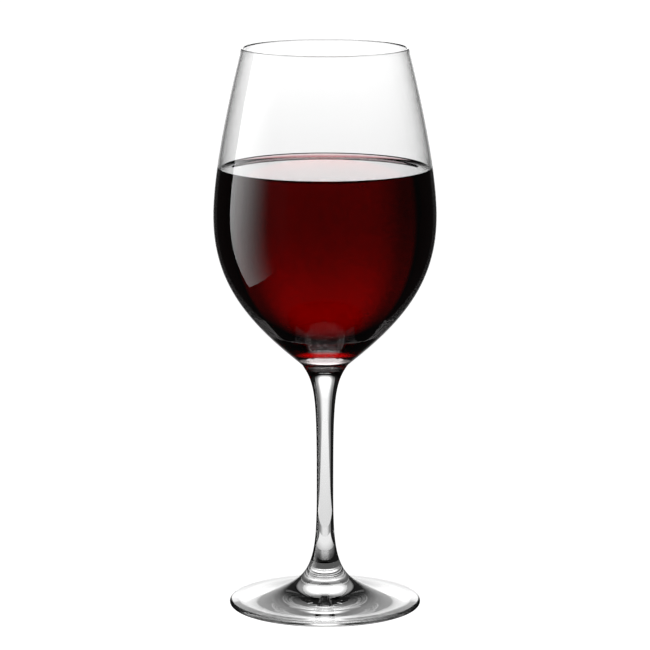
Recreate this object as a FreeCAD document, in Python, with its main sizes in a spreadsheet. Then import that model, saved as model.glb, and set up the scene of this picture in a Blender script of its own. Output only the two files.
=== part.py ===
"""Stemmed glass of red wine: one blown glass, and the wine that stands in its bowl.

Millimetres, +Z up. The origin is the middle of the foot's resting ring, on the table.
Both pieces are turned shapes: half a section drawn in the XZ plane and spun once round Z.
The inside of the bowl is written once, and shapes both the glass and the wine.
"""
import FreeCAD, Part
import os
import re
import Sketcher

# Driving dimensions: name, value in mm or degrees, and what it measures on the glass.
SIZES = [
    ("glass_height", 220.0, "table to lip"),
    ("rim_radius", 32.4, "outside of the lip"),
    ("rim_wall", 1.0, "thickness of the lip"),
    ("rim_round", 0.4, "rounding of both edges of the lip"),
    ("rim_lean", 14.0, "how far the wall leans in at the lip"),
    ("chimney_pull", 18.0, "fullness of the bowl above its widest line"),
    ("belly_radius", 43.4, "outside of the bowl at its widest"),
    ("belly_height", 154.5, "height at which the bowl is widest"),
    ("belly_wall", 1.2, "thickness of the bowl at its widest"),
    ("shoulder_pull", 25.2, "fullness of the outside below the widest line"),
    ("inner_shoulder_pull", 19.8, "fullness of the inside below the widest line"),
    ("root_radius", 9.25, "outside where the bowl grows out of the stem"),
    ("root_height", 96.2, "height where the bowl grows out of the stem"),
    ("cone_angle", 39.0, "slope of the bowl's underside at its root"),
    ("cone_pull", 27.9, "how far the underside keeps that slope"),
    ("root_wall", 2.2, "thickness of the bowl above its root"),
    ("floor_share", 0.3733, "how far out the round floor reaches, from root to widest"),
    ("inner_slope", 44.5, "slope of the inside there"),
    ("inner_wall_pull", 18.5, "how far the inside's wall keeps that slope"),
    ("floor_curl", 7.7, "how gently the wall turns into the floor"),
    ("floor_pull", 7.7, "flatness of the floor's middle"),
    ("floor_thickness", 5.4, "glass under the wine, above the bowl's root"),
    ("neck_angle", 53.0, "slope of the stem where it leaves the bowl"),
    ("neck_pull", 9.4, "how far the stem keeps that slope"),
    ("stem_radius", 3.27, "stem at its thinnest"),
    ("waist_height", 46.7, "height at which the stem is thinnest"),
    ("upper_draw", 35.2, "how long the stem stays thin above its waist"),
    ("lower_draw", 34.8, "how long the stem stays thin below its waist"),
    ("foot_radius", 37.6, "outside of the foot"),
    ("foot_edge", 2.2, "thickness of the foot at its edge"),
    ("foot_round", 1.0, "rounding of both edges of the foot"),
    ("foot_angle", 7.4, "slope of the foot's top at its edge"),
    ("foot_pull", 33.0, "how far the foot's top keeps that slope"),
    ("rest_ring", 3.0, "width of the flat ring that the foot stands on"),
    ("hollow_rise", 1.3, "height of the shallow hollow under the foot"),
    ("hollow_pull", 16.0, "flatness of that hollow's middle"),
    ("wine_level", 172.4, "height of the wine's surface"),
    ("wine_gap", 0.04, "clearance between the wine and the glass"),
]

doc = FreeCAD.newDocument("glass_of_red_wine")
sheet = doc.addObject("Spreadsheet::Sheet", "size")
for row, (alias, value, meaning) in enumerate(SIZES, start=1):
    sheet.set("A%d" % row, alias)
    sheet.set("B%d" % row, str(value))
    sheet.setAlias("B%d" % row, alias)
    sheet.set("C%d" % row, meaning)
doc.recompute()


def bound(text):
    """A formula written with bare size names, as an expression that reads the sheet.

    Every size's name has an underscore, and no function's name has one.
    """
    return re.sub(r"[a-z]+(_[a-z]+)+", r"size.\g<0>", text)


def measured(text):
    """The value that a formula has now."""
    return float(sheet.evalExpression(bound(text)))


# A point of a section is a pair of formulas: its distance from the axis and its height.
# A run is 2 points, a straight line, or 4 points, a smooth curve that leaves its first
# point towards the second and reaches its last point from the third.

def pin(sketch, name, geometry, position, point):
    """Dimension one point of a sketch from the origin, or keep it on an axis."""
    kinds = (("DistanceX", -2), ("DistanceY", -1))
    for (kind, axis), formula in zip(kinds, point):
        if formula == "0":
            sketch.addConstraint(Sketcher.Constraint("PointOnObject", geometry, position, axis))
            continue
        value = measured(formula)
        index = sketch.addConstraint(Sketcher.Constraint(kind, -1, 1, geometry, position, value))
        label = "%s_%s" % (name, kind[-1].lower())
        sketch.renameConstraint(index, label)
        sketch.setExpression("Constraints." + label, bound(formula))


def draw_section(body, name, runs):
    """A sketch in the body's XZ plane with a closed outline made of the given runs."""
    sketch = body.newObject("Sketcher::SketchObject", name)
    plane = [f for f in body.Origin.OriginFeatures if f.Role == "XZ_Plane"][0]
    sketch.AttachmentSupport = (plane, "")
    sketch.MapMode = "FlatFace"
    ends = []
    for number, run in enumerate(runs, start=1):
        label = "run%d" % number
        poles = [FreeCAD.Vector(measured(r), measured(z), 0) for r, z in run]
        if len(run) == 2:
            index = sketch.addGeometry(Part.LineSegment(poles[0], poles[1]), False)
        else:
            curve = Part.BSplineCurve()
            curve.buildFromPoles(poles, False, len(poles) - 1)
            index = sketch.addGeometry(curve, False)
            sketch.exposeInternalGeometry(index)
            # The poles come after the curve, as circles, and their centres are its poles.
            pin(sketch, label + "_leave", index + 2, 3, run[1])
            pin(sketch, label + "_reach", index + 3, 3, run[2])
        pin(sketch, label + "_start", index, 1, run[0])
        ends.append(index)
    for index, following in zip(ends, ends[1:] + ends[:1]):
        sketch.addConstraint(Sketcher.Constraint("Coincident", index, 2, following, 1))
    return sketch


def spin(body, kind, name, sketch):
    """Turn a section once round the axis, to add material or, as a Groove, to cut it."""
    feature = body.newObject("PartDesign::" + kind, name)
    feature.Profile = sketch
    feature.ReferenceAxis = (sketch, ["V_Axis"])
    feature.Angle = 360.0
    doc.recompute()
    return feature


def round_edges(body, name, base, circles, radius):
    """Fillet the circular edges that have one of the given pairs of radius and height."""
    wanted = [(measured(r), measured(z)) for r, z in circles]
    near = 0.001
    edges = []
    for number, edge in enumerate(base.Shape.Edges, start=1):
        if edge.Degenerated or not isinstance(edge.Curve, Part.Circle):
            continue
        centre = edge.Curve.Center
        for r, z in wanted:
            if abs(edge.Curve.Radius - r) < near and abs(centre.z - z) < near:
                edges.append("Edge%d" % number)
    if len(edges) != len(wanted):
        raise RuntimeError("%s: found %d edges of %d" % (name, len(edges), len(wanted)))
    fillet = body.newObject("PartDesign::Fillet", name)
    fillet.Base = (base, edges)
    fillet.setExpression("Radius", bound(radius))
    doc.recompute()
    return fillet


# The outside of the glass, from the lip down to the table.
LIP = ("rim_radius", "glass_height")
BELLY = ("belly_radius", "belly_height")
ROOT = ("root_radius", "root_height")
WAIST = ("stem_radius", "waist_height")
FOOT_TOP = ("foot_radius", "foot_edge")
FOOT_BOTTOM = ("foot_radius", "0")

CHIMNEY = [
    LIP,
    ("rim_radius + chimney_pull * sin(rim_lean)", "glass_height - chimney_pull * cos(rim_lean)"),
    ("belly_radius", "belly_height + chimney_pull"),
    BELLY,
]
BOWL = [
    BELLY,
    ("belly_radius", "belly_height - shoulder_pull"),
    ("root_radius + cone_pull * cos(cone_angle)", "root_height + cone_pull * sin(cone_angle)"),
    ROOT,
]
UPPER_STEM = [
    ROOT,
    ("root_radius - neck_pull * cos(neck_angle)", "root_height - neck_pull * sin(neck_angle)"),
    ("stem_radius", "waist_height + upper_draw"),
    WAIST,
]
LOWER_STEM = [
    WAIST,
    ("stem_radius", "waist_height - lower_draw"),
    ("foot_radius - foot_pull * cos(foot_angle)", "foot_edge + foot_pull * sin(foot_angle)"),
    FOOT_TOP,
]


def bowl_inside(gap):
    """The inside of the bowl, from the lip down to its floor, shrunk by a clearance."""
    lip_radius = "rim_radius - rim_wall - " + gap
    belly = "belly_radius - belly_wall - " + gap
    floor = "root_height + floor_thickness + " + gap
    lip = (lip_radius, "glass_height")
    chimney = [
        lip,
        (lip_radius + " + chimney_pull * sin(rim_lean)", "glass_height - chimney_pull * cos(rim_lean)"),
        (belly, "belly_height + chimney_pull"),
        (belly, "belly_height"),
    ]
    # The wall stands on the underside's cone, moved in by the wall's thickness.
    beyond_root = "floor_share * (belly_radius - root_radius)"
    floor_radius = "root_radius + " + beyond_root
    cone_height = ("root_height + " + beyond_root + " * tan(cone_angle)"
                   " + (root_wall + " + gap + ") / cos(cone_angle)")
    floor_edge = (floor_radius, cone_height)
    bowl = [
        (belly, "belly_height"),
        (belly, "belly_height - inner_shoulder_pull"),
        (floor_radius + " + inner_wall_pull * cos(inner_slope)",
         cone_height + " + inner_wall_pull * sin(inner_slope)"),
        floor_edge,
    ]
    round_floor = [
        floor_edge,
        (floor_radius + " - floor_curl * cos(inner_slope)",
         cone_height + " - floor_curl * sin(inner_slope)"),
        ("floor_pull", floor),
        ("0", floor),
    ]
    closing = [("0", floor), ("0", "glass_height")]
    return [("0", "glass_height"), lip], chimney, bowl, round_floor, closing


def make_glass():
    """Bowl, stem and foot, which are one piece of glass."""
    body = doc.addObject("PartDesign::Body", "wine_glass")
    body.Label = "wine_glass"
    outside = [
        [("0", "glass_height"), LIP],
        CHIMNEY,
        BOWL,
        UPPER_STEM,
        LOWER_STEM,
        [FOOT_TOP, FOOT_BOTTOM],
        [FOOT_BOTTOM, ("0", "0")],
        [("0", "0"), ("0", "glass_height")],
    ]
    blank = spin(body, "Revolution", "outside_turned", draw_section(body, "outside", outside))

    inside = draw_section(body, "inside", bowl_inside("0"))
    bowl = spin(body, "Groove", "bowl_hollowed", inside)

    hollow_radius = "foot_radius - foot_round - rest_ring"
    hollow_edge = (hollow_radius, "0")
    vault = [
        hollow_edge,
        (hollow_radius + " - hollow_pull", "hollow_rise"),
        ("hollow_pull", "hollow_rise"),
        ("0", "hollow_rise"),
    ]
    hollow = [[("0", "0"), hollow_edge], vault, [("0", "hollow_rise"), ("0", "0")]]
    foot = spin(body, "Groove", "foot_hollowed", draw_section(body, "under_foot", hollow))

    for cut, before in ((bowl, blank), (foot, bowl)):
        removed = before.Shape.Volume - cut.Shape.Volume
        print("%s removed %.1f cm3" % (cut.Name, removed / 1000))
        if removed < 1.0:
            raise RuntimeError(cut.Name + " cut nothing")

    lip_edges = [LIP, ("rim_radius - rim_wall", "glass_height")]
    # A rounding takes less than half of the edge that it rounds, however thin that is.
    lip = round_edges(body, "lip_polished", foot, lip_edges, "min(rim_round; 0.42 * rim_wall)")
    foot_edges = [FOOT_TOP, FOOT_BOTTOM]
    round_edges(body, "foot_edge_rounded", lip, foot_edges, "min(foot_round; 0.47 * foot_edge)")
    return body


def make_wine():
    """The wine: the bowl's inside less a clearance, filled to its level."""
    body = doc.addObject("PartDesign::Body", "red_wine")
    body.Label = "red_wine"
    full = spin(body, "Revolution", "bowl_full", draw_section(body, "bowl_fill", bowl_inside("wine_gap")))
    above = [
        [("0", "wine_level"), ("belly_radius", "wine_level")],
        [("belly_radius", "wine_level"), ("belly_radius", "glass_height")],
        [("belly_radius", "glass_height"), ("0", "glass_height")],
        [("0", "glass_height"), ("0", "wine_level")],
    ]
    poured = spin(body, "Groove", "poured_to_level", draw_section(body, "above_wine", above))
    if full.Shape.Volume - poured.Shape.Volume < 1.0:
        raise RuntimeError("the wine is not cut at its level")
    return body


def check_document(bodies):
    """Stop unless every object is sound and every piece is one closed solid."""
    for item in doc.Objects:
        if "Invalid" in item.State or "Error" in item.State:
            raise RuntimeError("%s is %s" % (item.Name, item.State))
    for body in bodies:
        shape = body.Shape
        if shape.isNull() or not shape.isValid() or len(shape.Solids) != 1:
            raise RuntimeError(body.Label + " is not one valid solid")


def main():
    bodies = [make_glass(), make_wine()]
    for body in bodies:
        body.Placement = FreeCAD.Placement()
    doc.recompute()
    check_document(bodies)
    os.makedirs("parts", exist_ok=True)
    for body in bodies:
        box = body.Shape.BoundBox
        print("%s: %.1f cm3, z %.2f to %.2f mm, radius %.2f mm"
              % (body.Label, body.Shape.Volume / 1000, box.ZMin, box.ZMax, box.XMax))
        body.Shape.exportStep("parts/%s.step" % body.Label)


main()
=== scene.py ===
# %% [markdown]
# # A glass of red wine
# The imported model is the frame: its two nodes, `wine_glass` and `red_wine`, say where the real glass
# and the real wine are. Both are shapes of revolution. Here each is turned again from one smooth
# section, fine enough for light to bend cleanly through it, and stands for its node. The frame's
# box is kept from the start and printed, and the box of the finished pieces is printed at the end.

# %% Load the frame
import math

import bpy
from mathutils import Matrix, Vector


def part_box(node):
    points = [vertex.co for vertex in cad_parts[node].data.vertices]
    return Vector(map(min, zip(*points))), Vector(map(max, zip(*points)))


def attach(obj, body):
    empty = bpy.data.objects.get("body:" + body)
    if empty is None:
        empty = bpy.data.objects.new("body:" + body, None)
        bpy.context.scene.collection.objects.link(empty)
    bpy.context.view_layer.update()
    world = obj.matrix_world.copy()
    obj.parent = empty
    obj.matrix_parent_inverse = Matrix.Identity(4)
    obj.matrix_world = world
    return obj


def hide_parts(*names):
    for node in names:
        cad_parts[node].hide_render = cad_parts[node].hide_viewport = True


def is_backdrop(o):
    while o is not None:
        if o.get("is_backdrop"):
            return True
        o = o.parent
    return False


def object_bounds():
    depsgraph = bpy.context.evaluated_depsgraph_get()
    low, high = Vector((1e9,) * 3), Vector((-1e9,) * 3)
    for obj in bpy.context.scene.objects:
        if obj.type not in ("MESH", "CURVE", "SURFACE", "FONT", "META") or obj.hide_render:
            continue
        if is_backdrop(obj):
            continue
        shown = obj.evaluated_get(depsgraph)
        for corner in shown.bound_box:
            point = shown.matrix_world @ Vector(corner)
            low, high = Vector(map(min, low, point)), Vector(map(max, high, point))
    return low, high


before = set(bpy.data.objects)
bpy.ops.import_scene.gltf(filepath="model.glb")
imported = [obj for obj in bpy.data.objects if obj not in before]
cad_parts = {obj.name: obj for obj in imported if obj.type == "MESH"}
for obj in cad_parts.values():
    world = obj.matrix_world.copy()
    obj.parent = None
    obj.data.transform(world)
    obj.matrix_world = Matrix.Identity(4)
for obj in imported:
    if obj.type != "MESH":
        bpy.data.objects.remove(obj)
cad_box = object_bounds()
scene = bpy.context.scene
MM = 0.001
print("nodes in the frame:", sorted(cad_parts))
print("box of the frame, m:", [[round(v, 4) for v in corner] for corner in cad_box])

# %% [markdown]
# ## The camera
# A photographer takes a glass with a long lens from well back, a little above the lip, so that its
# sides stay upright. The lip then shows as a thin ellipse and the foot as a rounder one. A short lens
# close by would show the same height but bulge the bowl. Depth of field stays off.

# %% Camera
CAMERA_DISTANCE = 1.375
CAMERA_HEIGHT = 0.3615
CAMERA_TILT = math.radians(10.30)
FIELD_OF_VIEW = math.radians(10.36)
SENSOR_WIDTH = 36.0
FARTHEST_SEEN = 20.0

camera_data = bpy.data.cameras.new("product_camera")
camera_data.sensor_width = SENSOR_WIDTH
camera_data.angle = FIELD_OF_VIEW
camera_data.clip_end = FARTHEST_SEEN
camera = bpy.data.objects.new("product_camera", camera_data)
camera.location = (0.0, -CAMERA_DISTANCE, CAMERA_HEIGHT)
camera.rotation_euler = (math.pi / 2 - CAMERA_TILT, 0.0, 0.0)
scene.collection.objects.link(camera)
scene.camera = camera
print("lens: %.1f mm" % camera_data.lens)

# %% [markdown]
# ## Drawing a section
# A turned thing is known by its section, the outline of one half of it. The section could be a long
# list of points, but a smooth outline needs only a few cubic curves. Each is called a *run* here and
# is a list of four points, each a radius and a height. A run leaves its first point towards the
# second and comes to the fourth from the third, as the handles of a Bezier curve do.

# %% Helpers for runs
def leaning(angle):
    """A unit step away from the axis, at an angle above the horizontal."""
    return Vector((math.cos(angle), math.sin(angle)))


def straight(start, end):
    """A run that is a straight line."""
    return [start, start.lerp(end, 1 / 3), start.lerp(end, 2 / 3), end]


def round_run(centre, radius, first, last):
    """A run that is an arc of less than a half turn, between two angles."""
    reach = 4 / 3 * math.tan((last - first) / 4) * radius
    a = centre + leaning(first) * radius
    b = centre + leaning(last) * radius
    tangent_a = leaning(first + math.pi / 2)
    tangent_b = leaning(last + math.pi / 2)
    return [a, a + tangent_a * reach, b - tangent_b * reach, b]


# %% [markdown]
# ## The foot
# A wine glass stands on a thin ring under its foot, so that a bump in the table can't rock it. The
# foot is vaulted a little inside the ring and has a rounded edge. A flat disc would be quicker, but
# its hard edge and flat underside would catch the light quite differently.

# %% Section of the foot
FOOT_RADIUS = 37.6 * MM
FOOT_EDGE = 2.2 * MM
FOOT_ANGLE = math.radians(7.4)
REST_RING = 3.0 * MM
HOLLOW_RISE = 1.3 * MM
HOLLOW_PULL = 16.0 * MM


def foot_runs():
    """The vault under the foot, the ring it stands on, and its round edge."""
    edge = FOOT_EDGE / 2
    edge_centre = Vector((FOOT_RADIUS - edge, edge))
    rest_outside = Vector((edge_centre.x, 0.0))
    rest_inside = rest_outside - Vector((REST_RING, 0.0))
    vault = [
        Vector((0.0, HOLLOW_RISE)),
        Vector((HOLLOW_PULL, HOLLOW_RISE)),
        Vector((rest_inside.x - HOLLOW_PULL, HOLLOW_RISE)),
        rest_inside,
    ]
    edge_below = round_run(edge_centre, edge, -math.pi / 2, 0.0)
    edge_above = round_run(edge_centre, edge, 0.0, math.pi / 2 - FOOT_ANGLE)
    return [vault, straight(rest_inside, rest_outside), edge_below, edge_above]


foot_top = foot_runs()[-1][3]
print("top of the foot's edge: radius %.2f, height %.2f mm" % (foot_top.x / MM, foot_top.y / MM))

# %% [markdown]
# ## The stem
# The stem is drawn out of the hot bowl, so it is thinnest below its middle and swells towards both
# ends with no step. Two runs that share a waist show that. A cylinder with two fillets would have a
# visible join at each end, which clear glass betrays at once.

# %% Section of the stem
ROOT = Vector((9.25, 96.2)) * MM
STEM_RADIUS = 3.27 * MM
WAIST_HEIGHT = 46.7 * MM
UPPER_DRAW = 35.2 * MM
LOWER_DRAW = 34.8 * MM
FOOT_PULL = 32.1 * MM
NECK_ANGLE = math.radians(53.0)
NECK_PULL = 9.4 * MM


def stem_runs():
    """The stem from the foot's top to the root of the bowl."""
    waist = Vector((STEM_RADIUS, WAIST_HEIGHT))
    lower = [
        foot_top,
        foot_top - leaning(-FOOT_ANGLE) * FOOT_PULL,
        waist - Vector((0.0, LOWER_DRAW)),
        waist,
    ]
    upper = [
        waist,
        waist + Vector((0.0, UPPER_DRAW)),
        ROOT - leaning(NECK_ANGLE) * NECK_PULL,
        ROOT,
    ]
    return [lower, upper]


print("stem: %.2f mm thick at its waist" % (2 * STEM_RADIUS / MM))

# %% [markdown]
# ## The bowl's outside and its lip
# Blown into a mould, the bowl rises from its root as a cone, is widest below its middle and leans in
# towards the lip. The lip is melted round. A run ends at the widest line, where the wall stands
# upright, so the two runs meet smoothly there.

# %% Section of the outside
LIP_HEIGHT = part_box("wine_glass")[1][2]
RIM_RADIUS = 32.4 * MM
RIM_WALL = 1.0 * MM
RIM_LEAN = math.radians(14.0)
CHIMNEY_PULL = 18.0 * MM
BELLY_RADIUS = 43.4 * MM
BELLY_HEIGHT = 154.5 * MM
SHOULDER_PULL = 25.2 * MM
CONE_ANGLE = math.radians(39.0)
CONE_PULL = 27.9 * MM
DOWN_THE_WALL = leaning(RIM_LEAN - math.pi / 2)
lip_centre = Vector((RIM_RADIUS - RIM_WALL / 2, LIP_HEIGHT - RIM_WALL / 2))


def outside_runs():
    """The outside of the bowl from its root up, and over the round lip."""
    widest = Vector((BELLY_RADIUS, BELLY_HEIGHT))
    lip_top = RIM_LEAN + math.pi / 2
    lip_outer = round_run(lip_centre, RIM_WALL / 2, RIM_LEAN, lip_top)
    lip_inner = round_run(lip_centre, RIM_WALL / 2, lip_top, RIM_LEAN + math.pi)
    bowl = [
        ROOT,
        ROOT + leaning(CONE_ANGLE) * CONE_PULL,
        widest - Vector((0.0, SHOULDER_PULL)),
        widest,
    ]
    chimney = [
        widest,
        widest + Vector((0.0, CHIMNEY_PULL)),
        lip_outer[0] + DOWN_THE_WALL * CHIMNEY_PULL,
        lip_outer[0],
    ]
    return [bowl, chimney, lip_outer, lip_inner]


print("glass: %.1f mm tall, %.1f mm across" % (LIP_HEIGHT / MM, 2 * BELLY_RADIUS / MM))

# %% [markdown]
# ## The bowl's inside
# The wall is thin at the lip and the belly. Lower down the inside turns into a round floor with
# thick glass under it. That floor is a lens: it gathers the light into the red patch and the pale
# crescent above the stem. The inside is written once, with an inset, because the wine follows it too.
# Moving the outside inwards by one thickness would be simpler, but would lose the lens.

# %% Section of the inside
BELLY_WALL = 1.2 * MM
INNER_SHOULDER_PULL = 19.8 * MM
ROOT_WALL = 2.2 * MM
INNER_SLOPE = math.radians(44.5)
INNER_WALL_PULL = 18.5 * MM
FLOOR_RADIUS = 22.0 * MM
FLOOR_CURL = 7.7 * MM
FLOOR_PULL = 7.7 * MM
FLOOR_THICKNESS = 5.4 * MM


def inside_runs(inset):
    """The inside from the middle of its floor up to the lip, moved in by an inset."""
    floor = ROOT.y + FLOOR_THICKNESS + inset
    slope = leaning(INNER_SLOPE)
    cone = ROOT.y + (FLOOR_RADIUS - ROOT.x) * math.tan(CONE_ANGLE)
    floor_edge = Vector((FLOOR_RADIUS, cone + (ROOT_WALL + inset) / math.cos(CONE_ANGLE)))
    widest = Vector((BELLY_RADIUS - BELLY_WALL - inset, BELLY_HEIGHT))
    lip_side = lip_centre - leaning(RIM_LEAN) * (RIM_WALL / 2 + inset)
    round_floor = [
        Vector((0.0, floor)),
        Vector((FLOOR_PULL, floor)),
        floor_edge - slope * FLOOR_CURL,
        floor_edge,
    ]
    wall = [
        floor_edge,
        floor_edge + slope * INNER_WALL_PULL,
        widest - Vector((0.0, INNER_SHOULDER_PULL)),
        widest,
    ]
    chimney = [
        widest,
        widest + Vector((0.0, CHIMNEY_PULL)),
        lip_side + DOWN_THE_WALL * CHIMNEY_PULL,
        lip_side,
    ]
    return [round_floor, wall, chimney]


def backwards(runs):
    """The same runs, travelled the other way."""
    return [run[::-1] for run in runs[::-1]]


glass_runs = foot_runs() + stem_runs() + outside_runs() + backwards(inside_runs(0.0))
print("section of the glass: %d runs" % len(glass_runs))

# %% [markdown]
# ## The wine's section
# Wine fills the bowl up to its level and creeps up the wall in a small curve, the meniscus. Where it
# stopped just short of the wall, light would show a film of air, so the wine reaches a little into
# the wall instead. Its section follows the inside up to where the meniscus ends, then comes back over
# the surface to the axis. The run that the meniscus ends on is cut there by halving again and again.

# %% Section of the wine
WALL_OVERLAP = 0.12 * MM
CLIMB = 1.4 * MM
CLIMB_WIDTH = 4.0 * MM
CLIMB_LEAN = 0.25 * MM
CLIMB_STEEPNESS = 0.7
CLIMB_FLATNESS = 0.6
HALVINGS = 40
wine_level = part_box("red_wine")[1][2]


def split(run, t):
    """The two parts of a run on both sides of a share of it."""
    ab, bc, cd = (run[i].lerp(run[i + 1], t) for i in range(3))
    abc, bcd = ab.lerp(bc, t), bc.lerp(cd, t)
    middle = abc.lerp(bcd, t)
    return [run[0], ab, abc, middle], [middle, bcd, cd, run[3]]


def part_below(run, height):
    """The part of a rising run that lies below a height."""
    low, high = 0.0, 1.0
    for _ in range(HALVINGS):
        t = (low + high) / 2
        if split(run, t)[0][3].y < height:
            low = t
        else:
            high = t
    return split(run, low)[0]


def wine_runs():
    """From the lowest point up the wall, down the meniscus and over the surface to the axis."""
    round_floor, wall, chimney = inside_runs(-WALL_OVERLAP)
    side = part_below(chimney, wine_level + CLIMB)
    contact = side[3]
    flat = Vector((contact.x - CLIMB_WIDTH, wine_level))
    meniscus = [
        contact,
        contact - Vector((CLIMB_LEAN, CLIMB_STEEPNESS * CLIMB)),
        flat + Vector((CLIMB_FLATNESS * CLIMB_WIDTH, 0.0)),
        flat,
    ]
    return [round_floor, wall, side, meniscus, straight(flat, Vector((0.0, wine_level)))]


print("wine: level at %.2f mm, meniscus up to %.2f mm"
      % (wine_level / MM, (wine_level + CLIMB) / MM))

# %% [markdown]
# ## Nodes as Python
# A chain of nodes reads more easily as an expression. `Wire` wraps a socket, and each operator on it
# adds one Math node. `make` adds any other node: it takes the node's type, its settings, and the
# values or wires of its sockets. Both serve geometry trees and materials alike.

# %% Wires and nodes
class Wire:
    """A socket's value, which can be multiplied, made positive and eased."""

    def __init__(self, tree, socket):
        self.tree = tree
        self.socket = socket

    def math(self, operation, *values):
        inputs = dict(enumerate(values))
        return make(self.tree, "ShaderNodeMath", {"operation": operation}, inputs)

    def __mul__(self, other):
        return self.math("MULTIPLY", self, other)

    __rmul__ = __mul__

    def __abs__(self):
        return self.math("ABSOLUTE", self)

    def eased(self, low, high, start, end):
        """Goes softly from start to end while this value goes from low to high."""
        return make(self.tree, "ShaderNodeMapRange", {"interpolation_type": "SMOOTHSTEP"}, {
            "Value": self, "From Min": low, "From Max": high, "To Min": start, "To Max": end,
        })


def make(tree, kind, settings, inputs, output=0):
    """Adds a node and returns one of its outputs, or nothing where it has none."""
    node = tree.nodes.new(kind)
    for name, value in settings.items():
        setattr(node, name, value)
    for key, value in inputs.items():
        if isinstance(value, Wire):
            tree.links.new(value.socket, node.inputs[key])
        else:
            node.inputs[key].default_value = value
    return Wire(tree, node.outputs[output]) if node.outputs else None


# %% [markdown]
# ## A lathe in Geometry Nodes
# Turning is a rule, so nodes do it. The tree carries the section round a circle with *Curve to Mesh*,
# merges what meets on the axis, which closes the poles, sets the finish and leaves real geometry.
# The Screw modifier could turn it too, but the tree keeps turning, closing and finishing in one
# place. Every ring is exactly round, which clear glass needs: one flat spot would crease
# everything that is seen through it.

# %% The lathe
RAIL_RADIUS = 1.0
POLE_MERGE = 0.004 * MM
LATHE_INPUTS = [
    ("Section", "NodeSocketGeometry"),
    ("Segments", "NodeSocketInt"),
    ("Merge Distance", "NodeSocketFloat"),
    ("Finish", "NodeSocketMaterial"),
]


def lathe_tree():
    """Turns a section, drawn with X as its radius and Y as its height, round Z."""
    tree = bpy.data.node_groups.new("turned_on_lathe", "GeometryNodeTree")
    for label, kind in LATHE_INPUTS:
        tree.interface.new_socket(label, in_out="INPUT", socket_type=kind)
    tree.interface.new_socket("Piece", in_out="OUTPUT", socket_type="NodeSocketGeometry")
    group = tree.nodes.new("NodeGroupInput")
    given = {label: Wire(tree, group.outputs[label]) for label, _ in LATHE_INPUTS}

    rail = make(tree, "GeometryNodeCurvePrimitiveCircle", {}, {
        "Radius": RAIL_RADIUS, "Resolution": given["Segments"],
    }, "Curve")
    shifted = make(tree, "GeometryNodeTransform", {}, {
        "Geometry": given["Section"], "Translation": (-RAIL_RADIUS, 0.0, 0.0),
    })
    turned = make(tree, "GeometryNodeCurveToMesh", {}, {"Curve": rail, "Profile Curve": shifted})
    closed = make(tree, "GeometryNodeMergeByDistance", {}, {
        "Geometry": turned, "Distance": given["Merge Distance"],
    })
    upright = make(tree, "GeometryNodeTransform", {}, {
        "Geometry": closed, "Rotation": (math.pi, 0.0, 0.0),
    })
    smooth = make(tree, "GeometryNodeSetShadeSmooth", {}, {"Geometry": upright})
    real = make(tree, "GeometryNodeRealizeInstances", {}, {"Geometry": smooth})
    finished = make(tree, "GeometryNodeSetMaterial", {}, {
        "Geometry": real, "Material": given["Finish"],
    })
    make(tree, "NodeGroupOutput", {}, {"Piece": finished})
    return tree


LATHE = lathe_tree()
print("lathe: %d nodes" % len(LATHE.nodes))

# %% [markdown]
# ## From a section to a piece
# The section becomes a Bezier curve, whose handles are the middle points of the runs. The lathe is a
# modifier on it. Once turned, the result is copied as a plain mesh and the curve is thrown away, so
# that the finished piece sits at the origin with its place in its mesh. The volume that its faces
# enclose comes out positive only if they all point outwards.

# %% Turning a piece
SEGMENTS = 256


def draw_section(name, runs, steps):
    """A Bezier curve in the XY plane that follows the runs, each in so many steps."""
    curve = bpy.data.curves.new(name, "CURVE")
    curve.dimensions = "3D"
    curve.resolution_u = steps
    points = curve.splines.new("BEZIER").bezier_points
    points.add(len(runs))
    for point in points:
        point.handle_left_type = point.handle_right_type = "FREE"
    for run, here, there in zip(runs, points, points[1:]):
        here.co = (*run[0], 0.0)
        here.handle_right = (*run[1], 0.0)
        there.handle_left = (*run[2], 0.0)
        there.co = (*run[3], 0.0)
    points[0].handle_left = points[0].co
    points[-1].handle_right = points[-1].co
    drawn = bpy.data.objects.new(name, curve)
    scene.collection.objects.link(drawn)
    return drawn


def turn(name, runs, steps, material):
    """A closed mesh turned from the runs."""
    drawn = draw_section(name + "_section", runs, steps)
    lathe = drawn.modifiers.new("lathe", "NODES")
    lathe.node_group = LATHE
    sockets = {item.name: item.identifier for item in LATHE.interface.items_tree}
    lathe[sockets["Segments"]] = SEGMENTS
    lathe[sockets["Merge Distance"]] = POLE_MERGE
    lathe[sockets["Finish"]] = material
    bpy.context.view_layer.update()
    graph = bpy.context.evaluated_depsgraph_get()
    mesh = bpy.data.meshes.new_from_object(drawn.evaluated_get(graph), depsgraph=graph)
    mesh.name = name
    drawn.modifiers.remove(lathe)
    bpy.data.objects.remove(drawn)
    piece = bpy.data.objects.new(name, mesh)
    scene.collection.objects.link(piece)
    return piece


def enclosed_volume(mesh):
    """The volume inside a mesh, in cubic metres."""
    mesh.calc_loop_triangles()
    total = 0.0
    for triangle in mesh.loop_triangles:
        a, b, c = (mesh.vertices[i].co for i in triangle.vertices)
        total += a.dot(b.cross(c)) / 6
    return total


# %% [markdown]
# ## Clear glass
# Glass has no colour of its own here: it shows what it bends and mirrors. A Principled shader with
# full transmission does both from one number, the index of refraction. Blown glass is never quite
# even, so a slow, faint noise, drawn out along the height, tilts its surface a little. It is far
# too weak to see by itself, but takes the computed stillness out of the reflections.

# %% Glass finish
WHITE = (1.0, 1.0, 1.0, 1.0)
GLASS_IOR = 1.52
WAVES_PER_METRE = 45.0
WAVE_STRETCH = (1.0, 1.0, 0.35)
WAVE_STRENGTH = 0.06
WAVE_HEIGHT = 0.02 * MM


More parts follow.
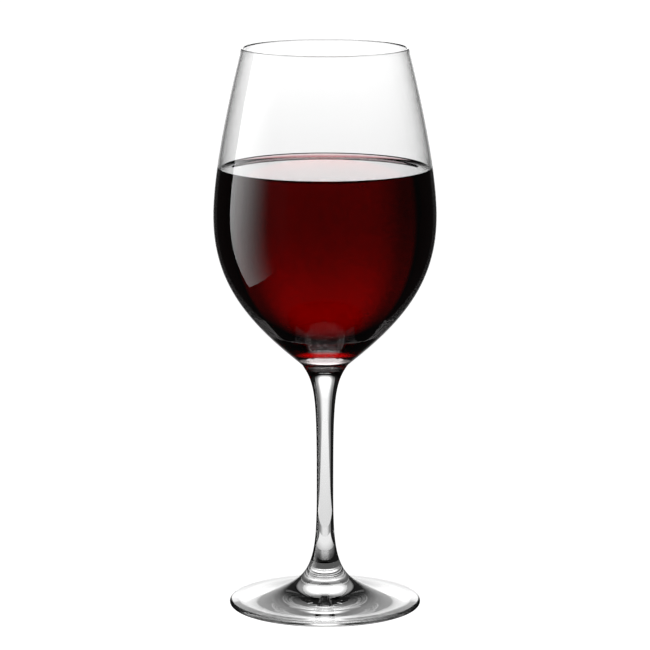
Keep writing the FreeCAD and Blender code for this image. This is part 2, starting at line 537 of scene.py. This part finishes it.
def new_material(name):
    """An empty node material and its tree."""
    material = bpy.data.materials.new(name)
    material.use_nodes = True
    material.node_tree.nodes.clear()
    return material, material.node_tree


def own_place(tree):
    """Where a point lies, in the piece's own coordinates."""
    return make(tree, "ShaderNodeTexCoord", {}, {}, "Object")


def clear_glass():
    """Polished clear glass with slow waves."""
    material, tree = new_material("clear_glass")
    place = make(tree, "ShaderNodeMapping", {}, {"Vector": own_place(tree), "Scale": WAVE_STRETCH})
    waves = make(tree, "ShaderNodeTexNoise", {}, {
        "Vector": place, "Scale": WAVES_PER_METRE, "Detail": 0.0,
    }, "Fac")
    tilt = make(tree, "ShaderNodeBump", {}, {
        "Strength": WAVE_STRENGTH, "Distance": WAVE_HEIGHT, "Height": waves,
    })
    glass = make(tree, "ShaderNodeBsdfPrincipled", {}, {
        "Base Color": WHITE,
        "Roughness": 0.0,
        "IOR": GLASS_IOR,
        "Transmission Weight": 1.0,
        "Normal": tilt,
    })
    make(tree, "ShaderNodeOutputMaterial", {}, {"Surface": glass})
    return material


# %% [markdown]
# ## Red wine
# Red wine is clear, and its colour is a matter of depth: pink where thin, red in the lens above the
# stem, nearly black through the whole bowl. A red surface would be equally red everywhere. So the
# surface is colourless, and the volume takes away light as it goes through, green and blue
# about ten times as fast as red.

# %% Wine finish
WINE_IOR = 1.345
WINE_TINT = (0.915, 0.05, 0.10, 1.0)
WINE_DEPTH = 400.0


def red_wine_finish():
    """Wine that is clear at its surface and coloured by its depth."""
    material, tree = new_material("red_wine")
    surface = make(tree, "ShaderNodeBsdfPrincipled", {}, {
        "Base Color": WHITE,
        "Roughness": 0.0,
        "IOR": WINE_IOR,
        "Transmission Weight": 1.0,
    })
    depth = make(tree, "ShaderNodeVolumeAbsorption", {}, {"Color": WINE_TINT, "Density": WINE_DEPTH})
    make(tree, "ShaderNodeOutputMaterial", {}, {"Surface": surface, "Volume": depth})
    return material


# %% [markdown]
# ## The glass and the wine
# Each piece is turned in one go and stands for its node in the frame. Both ride on the one body there
# is, because nothing moves. The glass has many short runs and the wine a few long ones, so
# the wine's runs are cut into more steps.

# %% The glass
GLASS_STEPS = 28
WINE_STEPS = 32


def stand_for(piece, node):
    """Puts a piece in the place of a node and prints its volume and faces."""
    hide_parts(node)
    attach(piece, "root")
    volume = enclosed_volume(piece.data) * 1e6
    print("%s: %.2f cm3, %d faces" % (piece.name, volume, len(piece.data.polygons)))


glass = turn("glass", glass_runs, GLASS_STEPS, clear_glass())
stand_for(glass, "wine_glass")

# %% The wine
wine = turn("wine", wine_runs(), WINE_STEPS, red_wine_finish())
stand_for(wine, "red_wine")

# %% [markdown]
# ## The floor and the white room
# Product shots of glass are made in white: a pale floor that runs into a pale wall, lit softly from
# all sides. The floor glows a little, as a light table does, so that no shadow or seam shows. Only
# the camera sees floor and room. What glass and wine see is set with cards, because an all-white
# surrounding would make clear glass vanish.

# %% Floor and room
FLOOR_SIDE = 16.0
FLOOR_PAINT = (0.9, 0.9, 0.9, 1.0)
FLOOR_ROUGHNESS = 0.9
FLOOR_GLOW = 1.1
ROOM_GLOW = 1.15


def rectangle(corner, along, up):
    """The corners of a rectangle, from one corner and its two sides."""
    corner, along, up = Vector(corner), Vector(along), Vector(up)
    return [corner, corner + along, corner + along + up, corner + up]


def stage_piece(name, corners, faces, material):
    """A piece of the studio."""
    mesh = bpy.data.meshes.new(name)
    mesh.from_pydata(corners, [], faces)
    mesh.materials.append(material)
    piece = bpy.data.objects.new(name, mesh)
    scene.collection.objects.link(piece)
    piece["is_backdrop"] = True
    return piece


def floor_finish():
    """Matt pale paint that glows like a light table."""
    material, tree = new_material("pale_floor")
    paint = make(tree, "ShaderNodeBsdfPrincipled", {}, {
        "Base Color": FLOOR_PAINT,
        "Roughness": FLOOR_ROUGHNESS,
        "Specular IOR Level": 0.0,
        "Emission Color": WHITE,
        "Emission Strength": FLOOR_GLOW,
    })
    make(tree, "ShaderNodeOutputMaterial", {}, {"Surface": paint})
    return material


floor_start = (-FLOOR_SIDE / 2, -FLOOR_SIDE / 2, 0.0)
floor_corners = rectangle(floor_start, (FLOOR_SIDE, 0.0, 0.0), (0.0, FLOOR_SIDE, 0.0))
floor = stage_piece("floor", floor_corners, [(0, 1, 2, 3)], floor_finish())
floor.visible_glossy = False
floor.visible_transmission = False

world = bpy.data.worlds.new("white_room")
world.use_nodes = True
background = world.node_tree.nodes["Background"]
background.inputs["Color"].default_value = WHITE
background.inputs["Strength"].default_value = ROOM_GLOW
world.cycles_visibility.glossy = False
world.cycles_visibility.transmission = False
world.cycles_visibility.diffuse = False
scene.world = world
print("floor: %.0f m square" % FLOOR_SIDE)

# %% [markdown]
# ## Cards that glow
# A photographer hangs cards and softboxes where the glass will bend or mirror them. Here a card's
# finish is an emission whose colour changes over it. The cards hang from the camera, as they would
# stay with it round a turntable, so the glass is lit alike from each side. Each card is either
# seen *through* the pieces, or *mirrored* in them, or both. On a round card a place is an azimuth,
# counted in degrees from straight behind the glass, and a height.

# %% Helpers for cards
COLUMNS = 24
DEGREES = 180 / math.pi


def glow(name, brightness_of):
    """A finish that glows as brightly as a function of the tree says."""
    material, tree = new_material(name)
    brightness = brightness_of(tree)
    socket = "Color" if isinstance(brightness, Wire) else "Strength"
    light = make(tree, "ShaderNodeEmission", {}, {socket: brightness})
    make(tree, "ShaderNodeOutputMaterial", {}, {"Surface": light})
    return material


def coordinate(tree, axis):
    """One of a point's own coordinates."""
    return make(tree, "ShaderNodeSeparateXYZ", {}, {"Vector": own_place(tree)}, axis)


def azimuth(tree):
    """The direction of a point seen from the axis."""
    across = coordinate(tree, "X")
    return across.math("ARCTAN2", across, coordinate(tree, "Y")) * DEGREES


def hang(piece, through, mirrored):
    """Hangs a card from the camera and shows it to glass and wine alone."""
    piece.parent = camera
    piece.matrix_parent_inverse = camera.matrix_basis.inverted()
    piece.visible_camera = False
    piece.visible_diffuse = False
    piece.visible_shadow = False
    piece.visible_transmission = through
    piece.visible_glossy = mirrored
    print("card %s: through %s, mirrored %s" % (piece.name, through, mirrored))


def round_card(name, away, half, low, top, brightness_of, through=True, mirrored=True):
    """A card bent round the axis, with so many degrees on each side of the middle."""
    corners, faces = [], []
    for i in range(COLUMNS + 1):
        turned = math.radians(-half + 2 * half * i / COLUMNS)
        for height in (low, top):
            corners.append((away * math.sin(turned), away * math.cos(turned), height))
    for i in range(COLUMNS):
        faces.append((2 * i, 2 * i + 2, 2 * i + 3, 2 * i + 1))
    piece = stage_piece(name, corners, faces, glow(name, brightness_of))
    hang(piece, through, mirrored)


def flat_card(name, corners, brightness_of, through=True, mirrored=True):
    """A flat card with four corners."""
    piece = stage_piece(name, corners, [(0, 1, 2, 3)], glow(name, brightness_of))
    hang(piece, through, mirrored)


# %% [markdown]
# ## The backdrop
# The wine is lit from behind. A bright middle shows as the red glow in the bowl, and the sides,
# dimmer and then dark, draw the black edges of the wine and the stem. The backdrop goes
# on below the table's height as a sweep, which is what the stem and the wine's lens gather. In a
# mirror image at the outline of the bowl a backdrop this wide would shine grey, so reflections get a
# narrower one. Each easing below is two places on the card and the brightness at both.

# %% Backdrop and sweep
BACKDROP_AWAY = 1.2
BACKDROP_HALF = 34.0
BACKDROP_TOP = 1.2
SWEEP_HALF = 36.0
SWEEP_LOW = -0.9
BACKDROP_SIDES = (7.0, 25.0, 1.0, 0.17)
CARD_ENDS = (28.0, 33.0, 1.0, 0.0)
BRIGHTER_UPWARDS = (-0.05, 0.36, 1.0, 2.0)
TOP_GOES_OUT = (0.36, 0.90, 1.0, 0.0)
SWEEP_EDGE = (-0.20, -0.12, 0.3, 0.15)
SWEEP_RISE = (-0.30, -0.08, 0.82, 1.03)


def backdrop_glow(tree):
    off_middle, height = abs(azimuth(tree)), coordinate(tree, "Z")
    side = off_middle.eased(*BACKDROP_SIDES) * off_middle.eased(*CARD_ENDS)
    return side * height.eased(*BRIGHTER_UPWARDS) * height.eased(*TOP_GOES_OUT)


def sweep_glow(tree):
    off_middle, height = abs(azimuth(tree)), coordinate(tree, "Z")
    start, end, middle, _ = BACKDROP_SIDES
    side = off_middle.eased(start, end, middle, height.eased(*SWEEP_EDGE))
    return side * off_middle.eased(*CARD_ENDS) * height.eased(*SWEEP_RISE)


round_card("backdrop", BACKDROP_AWAY, BACKDROP_HALF, 0.0, BACKDROP_TOP, backdrop_glow, mirrored=False)
round_card("sweep", BACKDROP_AWAY, SWEEP_HALF, SWEEP_LOW, 0.0, sweep_glow, mirrored=False)

# %% Backdrop for reflections
MIRRORED_AWAY = 1.21
MIRRORED_SIDES = (6.0, 20.0, 1.0, 0.02)
MIRRORED_RISE = (-0.30, 0.36, 0.8, 2.0)
MIRRORED_TOP = (0.36, 1.10, 1.0, 0.6)


def mirrored_glow(tree):
    off_middle, height = abs(azimuth(tree)), coordinate(tree, "Z")
    side = off_middle.eased(*MIRRORED_SIDES)
    return side * height.eased(*MIRRORED_RISE) * height.eased(*MIRRORED_TOP)


round_card("mirrored_backdrop", MIRRORED_AWAY, BACKDROP_HALF, SWEEP_LOW, BACKDROP_TOP,
           mirrored_glow, through=False)

# %% [markdown]
# ## The softbox, the ceiling and the dark room
# The tall pale streak on the left of the bowl is the mirror image of a softbox. It is brightest at
# its far edge and fades towards the camera and downwards. The foot's top is seen at a flat angle, so
# it mirrors a pale ceiling, which lifts it out of the dark. Everything else round the glass is
# a nearly black room.

# %% Softbox
SOFTBOX_CORNER = (-0.80, 0.32, -0.47)
SOFTBOX_WIDTH = 1.32
SOFTBOX_HEIGHT = 1.37
SOFTBOX_GLOW = 4.3
SOFTBOX_ACROSS = (-124.0, -71.0, 0.01, 1.0)
SOFTBOX_RISE = (-0.5, 0.5, 0.3, 1.0)
SOFTBOX_TOP = (0.40, 0.90, 1.0, 0.25)


def softbox_glow(tree):
    height = coordinate(tree, "Z")
    side = azimuth(tree).eased(*SOFTBOX_ACROSS)
    return side * height.eased(*SOFTBOX_RISE) * height.eased(*SOFTBOX_TOP) * SOFTBOX_GLOW


softbox_corners = rectangle(SOFTBOX_CORNER, (0.0, -SOFTBOX_WIDTH, 0.0), (0.0, 0.0, SOFTBOX_HEIGHT))
flat_card("softbox", softbox_corners, softbox_glow, through=False)

# %% Ceiling and dark room
CEILING_CORNER = (-1.0, -0.9, 1.4)
CEILING_SIZE = (2.0, 1.8)
CEILING_GLOW = 2.6
DARK_AWAY = 1.61
DARK_REACH = 3.0
DARK_GLOW = 0.010

ceiling_corners = rectangle(CEILING_CORNER, (CEILING_SIZE[0], 0.0, 0.0), (0.0, CEILING_SIZE[1], 0.0))
flat_card("ceiling", ceiling_corners, lambda tree: CEILING_GLOW, through=False)
round_card("dark_room", DARK_AWAY, 180.0, -DARK_REACH, DARK_REACH, lambda tree: DARK_GLOW)

# %% [markdown]
# ## The table seen through the foot
# Clear glass on a pale table lets the table show through it, a little shaded near the foot. The real
# floor can't do that here, because it is hidden from the pieces. Two small cards take its
# place: one on the table behind the glass, and one just under it for the rays that go down steeply.

# %% Table cards
BEHIND_CORNER = (-0.10, 0.10, 0.0)
BEHIND_SIZE = (0.20, 0.35)
BEHIND_SHADE = (0.10, 0.40, 0.76, 1.0)
UNDER_CORNER = (-0.06, 0.0, -0.02)
UNDER_SIZE = (0.12, 0.13)
UNDER_SHADE = (0.03, 0.11, 0.10, 0.90)


def table_card(name, corner, size, shade):
    """A level card that is shaded towards the glass."""
    corners = rectangle(corner, (size[0], 0.0, 0.0), (0.0, size[1], 0.0))
    flat_card(name, corners, lambda tree: coordinate(tree, "Y").eased(*shade), mirrored=False)


table_card("table_under", UNDER_CORNER, UNDER_SIZE, UNDER_SHADE)
table_card("table_behind", BEHIND_CORNER, BEHIND_SIZE, BEHIND_SHADE)

# %% [markdown]
# ## Light paths and the finish
# A ray crosses the wall, the wine and the wall again, and is mirrored inside on its way, so it needs
# more bounces than an opaque thing would. The plain *Standard* view keeps white paper white. Last,
# the box of the finished pieces is printed.

# %% Finish
BOUNCES = 24
MIRROR_BOUNCES = 12

scene.view_settings.view_transform = "Standard"
scene.cycles.max_bounces = BOUNCES
scene.cycles.transmission_bounces = BOUNCES
scene.cycles.glossy_bounces = MIRROR_BOUNCES

visual_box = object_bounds()
boxes = ([list(corner) for corner in box] for box in (cad_box, visual_box))
'{"cad": %s, "visual": %s}' % tuple(boxes)
print("box of the pieces, m:", [[round(v, 4) for v in corner] for corner in visual_box])
